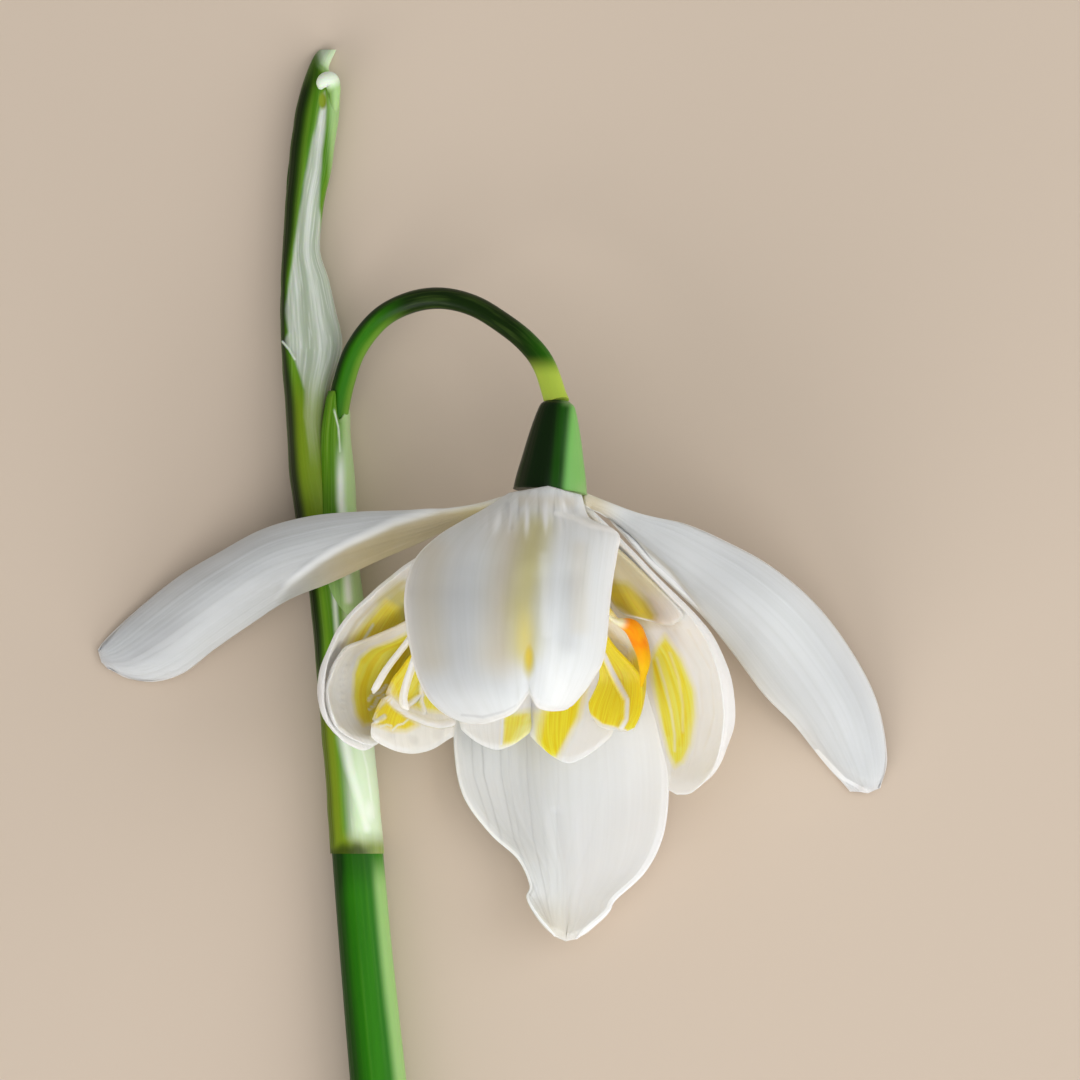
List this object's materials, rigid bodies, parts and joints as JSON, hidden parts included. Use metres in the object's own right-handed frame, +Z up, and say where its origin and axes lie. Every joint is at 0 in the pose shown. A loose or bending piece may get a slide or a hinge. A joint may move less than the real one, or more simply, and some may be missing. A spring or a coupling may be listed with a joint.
{
  "type": "double snowdrop flower",
  "caption": "Cut double snowdrop lying on its back: nodding white flower with yellow-marked inner segments, green ovary, arched stalk, papery spathe and cut stem.",
  "frame": {"origin": "middle of the base of the object's bounding box, on the surface it lies on", "axes": "+Y from the cut end of the stem to the tip of the spathe, +Z up from the surface, +X to the right seen from above with the spathe's tip away"},
  "size_m": [0.0477, 0.0749, 0.0204],
  "materials": {
    "white_tepal": "satin",
    "yellow_segment": "satin",
    "stem_green": "satin",
    "ovary_green": "satin",
    "spathe_green": "satin",
    "anther_orange": "matte"
  },
  "bodies": {
    "root": {"extra_back_white": "yellow_segment", "extra_back_yellow": "yellow_segment", "extra_fan": "yellow_segment", "extra_front_left": "yellow_segment", "extra_front_right": "yellow_segment", "extra_left_curled": "yellow_segment", "extra_left_spoon": "yellow_segment", "extra_right_narrow": "yellow_segment", "extra_right_short": "yellow_segment", "extra_strap_1": "yellow_segment", "extra_strap_2": "yellow_segment", "extra_strap_3": "yellow_segment", "inner_tepal_front": "white_tepal", "inner_tepal_left": "yellow_segment", "inner_tepal_right": "yellow_segment", "outer_tepal_back": "white_tepal", "outer_tepal_left": "white_tepal", "outer_tepal_right": "white_tepal", "ovary": "ovary_green", "pedicel": "stem_green", "scape": "stem_green", "spathe": "spathe_green", "stamen_1": "anther_orange", "stamen_2": "anther_orange", "stamen_3": "anther_orange", "stamen_4": "anther_orange", "stamen_5": "anther_orange", "stamen_6": "anther_orange", "style": "white_tepal"}
  },
  "joints": []
}
